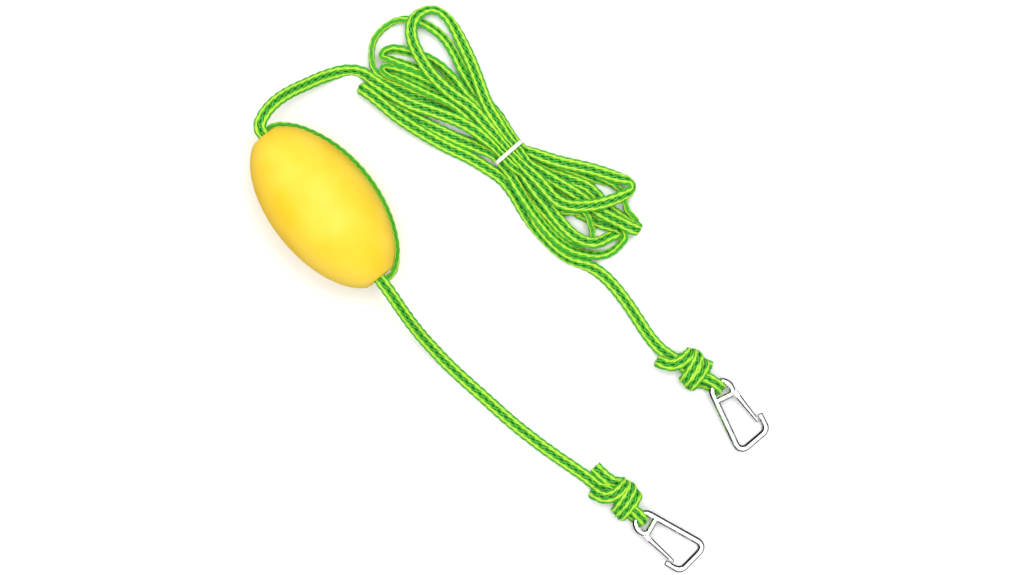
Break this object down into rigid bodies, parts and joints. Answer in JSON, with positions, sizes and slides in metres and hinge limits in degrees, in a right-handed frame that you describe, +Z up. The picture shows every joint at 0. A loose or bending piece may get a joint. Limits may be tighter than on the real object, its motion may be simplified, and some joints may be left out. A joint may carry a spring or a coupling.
{
  "type": "float line with snap hooks",
  "caption": "Flat braided tow line through an egg-shaped foam float, folded into a tied hank, with a knotted-on snap hook at each end.",
  "frame": {"origin": "middle of the box round the float and the two hooks, on the surface that the object lies on", "axes": "+Z up from that surface; +X is the longest side of that box; the float's axis and the hooks lie in the XY plane"},
  "size_m": [0.4041, 0.4505, 0.08],
  "materials": {
    "float_foam": "satin moulded foam skin",
    "braided_line": "flat hollow braid, green and lime strands",
    "white_tie": "satin",
    "polished_steel": "polished stainless steel",
    "spring_steel": "drawn wire"
  },
  "bodies": {
    "float_line": {"float_body": "float_foam", "hank_tie": "white_tie", "knot_lower": "braided_line", "knot_upper": "braided_line", "line_eye_loop_lower": "braided_line", "line_eye_loop_upper": "braided_line", "line_float_turn": "braided_line", "line_hank": "braided_line", "line_leader": "braided_line", "line_lower_run": "braided_line", "line_tail_lower": "braided_line", "line_upper_run": "braided_line"},
    "hook_upper": {"hook_frame_upper": "polished_steel", "hook_hinge_pin_upper": "polished_steel"},
    "gate_upper": {"hook_gate_upper": "polished_steel", "hook_gate_plunger_upper": "spring_steel", "hook_gate_spring_upper": "spring_steel"},
    "hook_lower": {"hook_frame_lower": "polished_steel", "hook_hinge_pin_lower": "polished_steel"},
    "gate_lower": {"hook_gate_lower": "polished_steel", "hook_gate_plunger_lower": "spring_steel", "hook_gate_spring_lower": "spring_steel"}
  },
  "joints": [
    {"name": "hook_swing_upper", "type": "hinge", "parent": "float_line", "child": "hook_upper", "pos_m": [0.164, -0.0298, 0.0085], "axis": [0.0493, -0.1033, 0.9934], "range_deg": [-15, 25]},
    {"name": "gate_hinge_upper", "type": "hinge", "parent": "hook_upper", "child": "gate_upper", "pos_m": [0.17552, -0.03305, 0.00759], "axis": [-0.0493, 0.1033, -0.9934], "range_deg": [0, 28], "stiffness_Nm_per_rad": 0.12, "springref_deg": -22.92},
    {"name": "hook_swing_lower", "type": "hinge", "parent": "float_line", "child": "hook_lower", "pos_m": [0.1032, -0.1342, 0.0085], "axis": [-0.0994, 0.0567, -0.9934], "range_deg": [-20, 20]},
    {"name": "gate_hinge_lower", "type": "hinge", "parent": "hook_lower", "child": "gate_lower", "pos_m": [0.1056, -0.14593, 0.00759], "axis": [0.0994, -0.0567, 0.9934], "range_deg": [0, 28], "stiffness_Nm_per_rad": 0.12, "springref_deg": -22.92}
  ]
}
